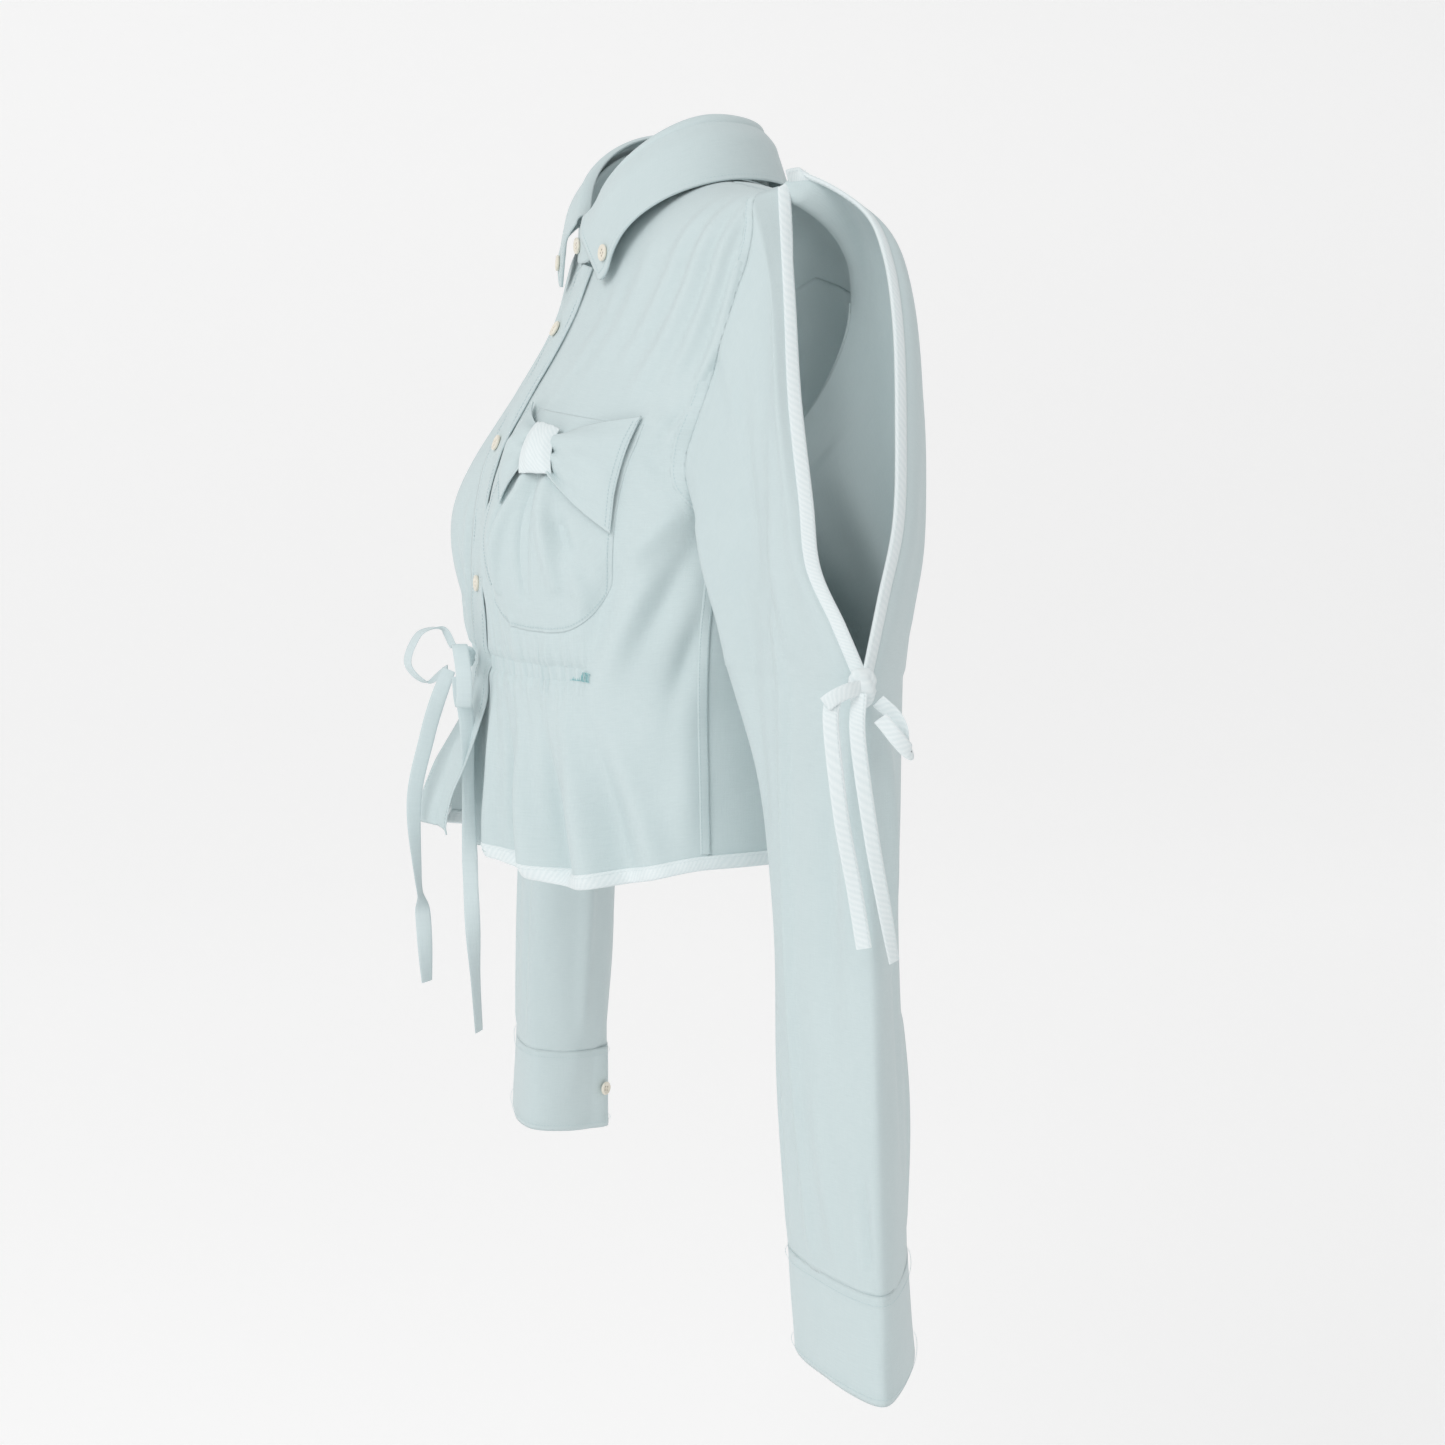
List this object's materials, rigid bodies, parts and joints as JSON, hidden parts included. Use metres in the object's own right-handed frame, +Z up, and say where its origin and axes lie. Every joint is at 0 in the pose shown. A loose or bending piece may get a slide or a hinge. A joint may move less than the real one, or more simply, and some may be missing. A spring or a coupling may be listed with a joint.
{
  "type": "tie-waist shirt",
  "caption": "Cropped long-sleeved shirt with a button-down collar, a chest pocket pinched into a bow, a tied waist and open shoulders closed by ribbon ties.",
  "frame": {"origin": "on the neck axis at the height of the shoulder points, where the wearer's neck and shoulders carry the shirt", "axes": "+Z up, the wearer faces -Y, the wearer's left side is +X"},
  "size_m": [0.6672, 0.2779, 0.73],
  "materials": {
    "cloth": "fine woven cotton, matt",
    "binding": "bias-cut striped cotton, matt",
    "interlining": "stiff woven interlining, matt",
    "stitching": "sewing thread",
    "button": "cream resin, satin"
  },
  "bodies": {
    "root": {"left_front_panel": "cloth", "right_front_panel": "cloth", "back_panel": "cloth", "back_yoke": "cloth", "button_band": "cloth", "front_placket": "cloth", "side_seam_left": "stitching", "side_seam_right": "stitching", "armhole_seam_left": "stitching", "armhole_seam_right": "stitching", "hem_binding_front_left": "binding", "hem_binding_front_right": "binding", "hem_binding_back": "binding", "waist_casing_left": "cloth", "waist_casing_right": "cloth", "waist_drawstring_left": "cloth", "waist_drawstring_right": "cloth", "casing_bartack_left": "stitching", "casing_bartack_right": "stitching", "collar_stand": "cloth", "collar_fall_under": "cloth", "collar_interlining": "interlining", "collar_fall": "cloth", "chest_pocket": "cloth", "pocket_bow_front_wing": "cloth", "pocket_bow_rear_wing": "cloth", "pocket_bow_knot": "cloth", "waist_tie_knot": "cloth", "waist_tie_loop_a": "cloth", "waist_tie_loop_b": "cloth", "waist_tail_a": "cloth", "waist_tail_b": "cloth", "front_button_1": "button", "front_button_2": "button", "front_button_3": "button", "neck_button": "button", "collar_button_left": "button", "collar_button_right": "button"},
    "left_sleeve": {"sleeve_left": "cloth", "slit_binding_front_left": "binding", "slit_binding_rear_left": "binding", "cuff_outer_left": "cloth", "cuff_interlining_left": "interlining", "cuff_inner_left": "cloth", "cuff_button_left": "button", "sleeve_tie_knot_left": "binding", "sleeve_tie_loop_left": "binding", "sleeve_tail_a_left": "binding", "sleeve_tail_b_left": "binding"},
    "right_sleeve": {"sleeve_right": "cloth", "slit_binding_front_right": "binding", "slit_binding_rear_right": "binding", "cuff_outer_right": "cloth", "cuff_interlining_right": "interlining", "cuff_inner_right": "cloth", "cuff_button_right": "button", "sleeve_tie_knot_right": "binding", "sleeve_tie_loop_right": "binding", "sleeve_tail_a_right": "binding", "sleeve_tail_b_right": "binding"}
  },
  "joints": [
    {"name": "left_sleeve_lift", "type": "hinge", "parent": "root", "child": "left_sleeve", "pos_m": [0.15, 0.03, 0], "axis": [0, -1, 0], "range_deg": [0, 60]},
    {"name": "right_sleeve_lift", "type": "hinge", "parent": "root", "child": "right_sleeve", "pos_m": [-0.15, 0.03, 0], "axis": [0, 1, 0], "range_deg": [0, 60]}
  ]
}
